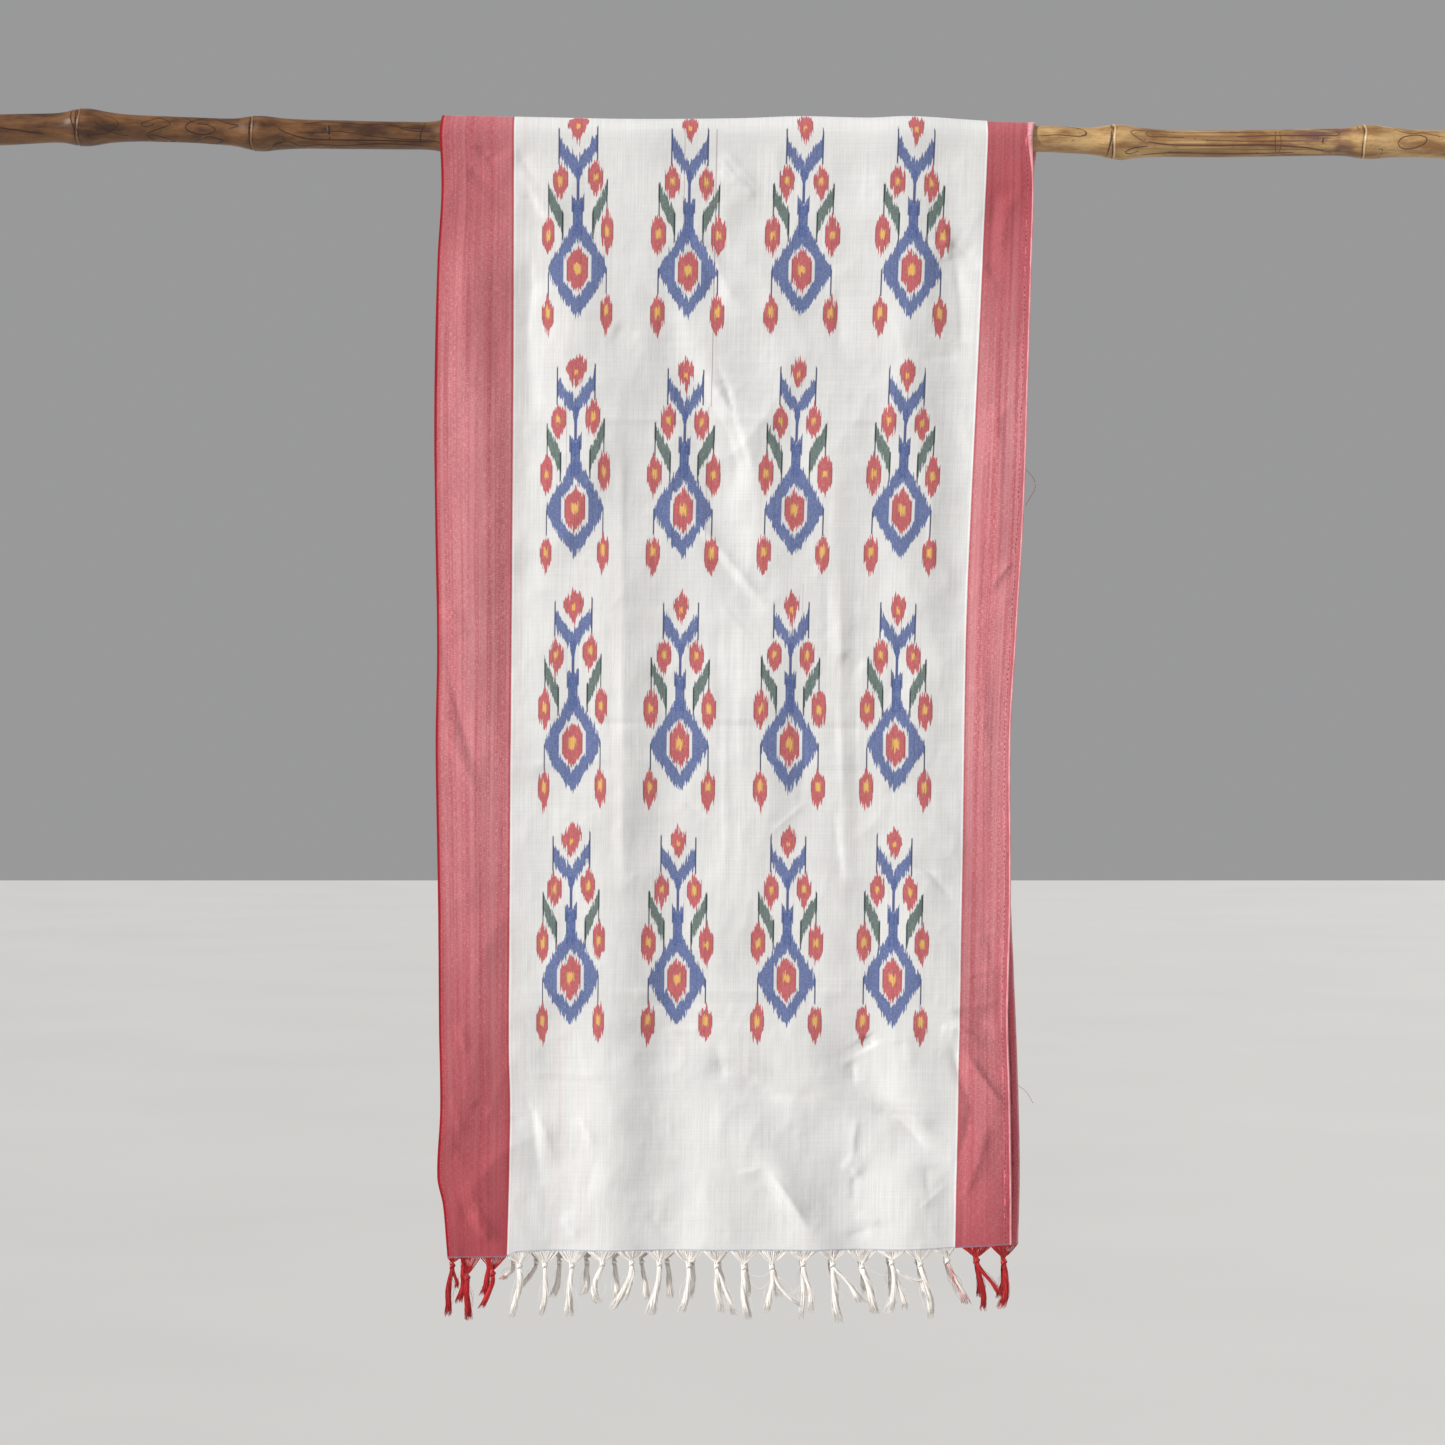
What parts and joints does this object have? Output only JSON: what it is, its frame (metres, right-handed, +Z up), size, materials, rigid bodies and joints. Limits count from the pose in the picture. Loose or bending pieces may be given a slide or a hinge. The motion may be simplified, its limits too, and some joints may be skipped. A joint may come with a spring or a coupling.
{
  "type": "ikat stole draped over a bamboo rod",
  "caption": "Handwoven cotton ikat stole with red borders and knotted fringes, draped once over a plain bamboo rod.",
  "frame": {"origin": "on the rod's axis, at the middle of its length, where the rod is held", "axes": "+X along the rod, to the right as the front drop is seen; +Y from the front drop to the back drop; +Z up"},
  "size_m": [1.4, 0.0466, 1.0945],
  "materials": {
    "cloth": "matt handwoven cotton, white field with red borders and ikat motifs in blue, red, green and yellow",
    "turned_hem": "matt rose-red handwoven cotton, stitched",
    "white_yarn": "soft cotton yarn with a slight sheen",
    "red_yarn": "soft cotton yarn with a slight sheen",
    "bamboo": "satin natural bamboo, mottled, with dark marks"
  },
  "bodies": {
    "root": {"rod": "bamboo", "front_drop": "cloth", "over_rod": "cloth", "back_drop": "cloth", "edge_hem_front": "turned_hem", "edge_hem_over": "turned_hem", "edge_hem_back": "turned_hem", "fringe_front_left": "red_yarn", "fringe_front_field": "white_yarn", "fringe_front_right": "red_yarn", "fringe_back_left": "red_yarn", "fringe_back_field": "white_yarn", "fringe_back_right": "red_yarn"}
  },
  "joints": []
}
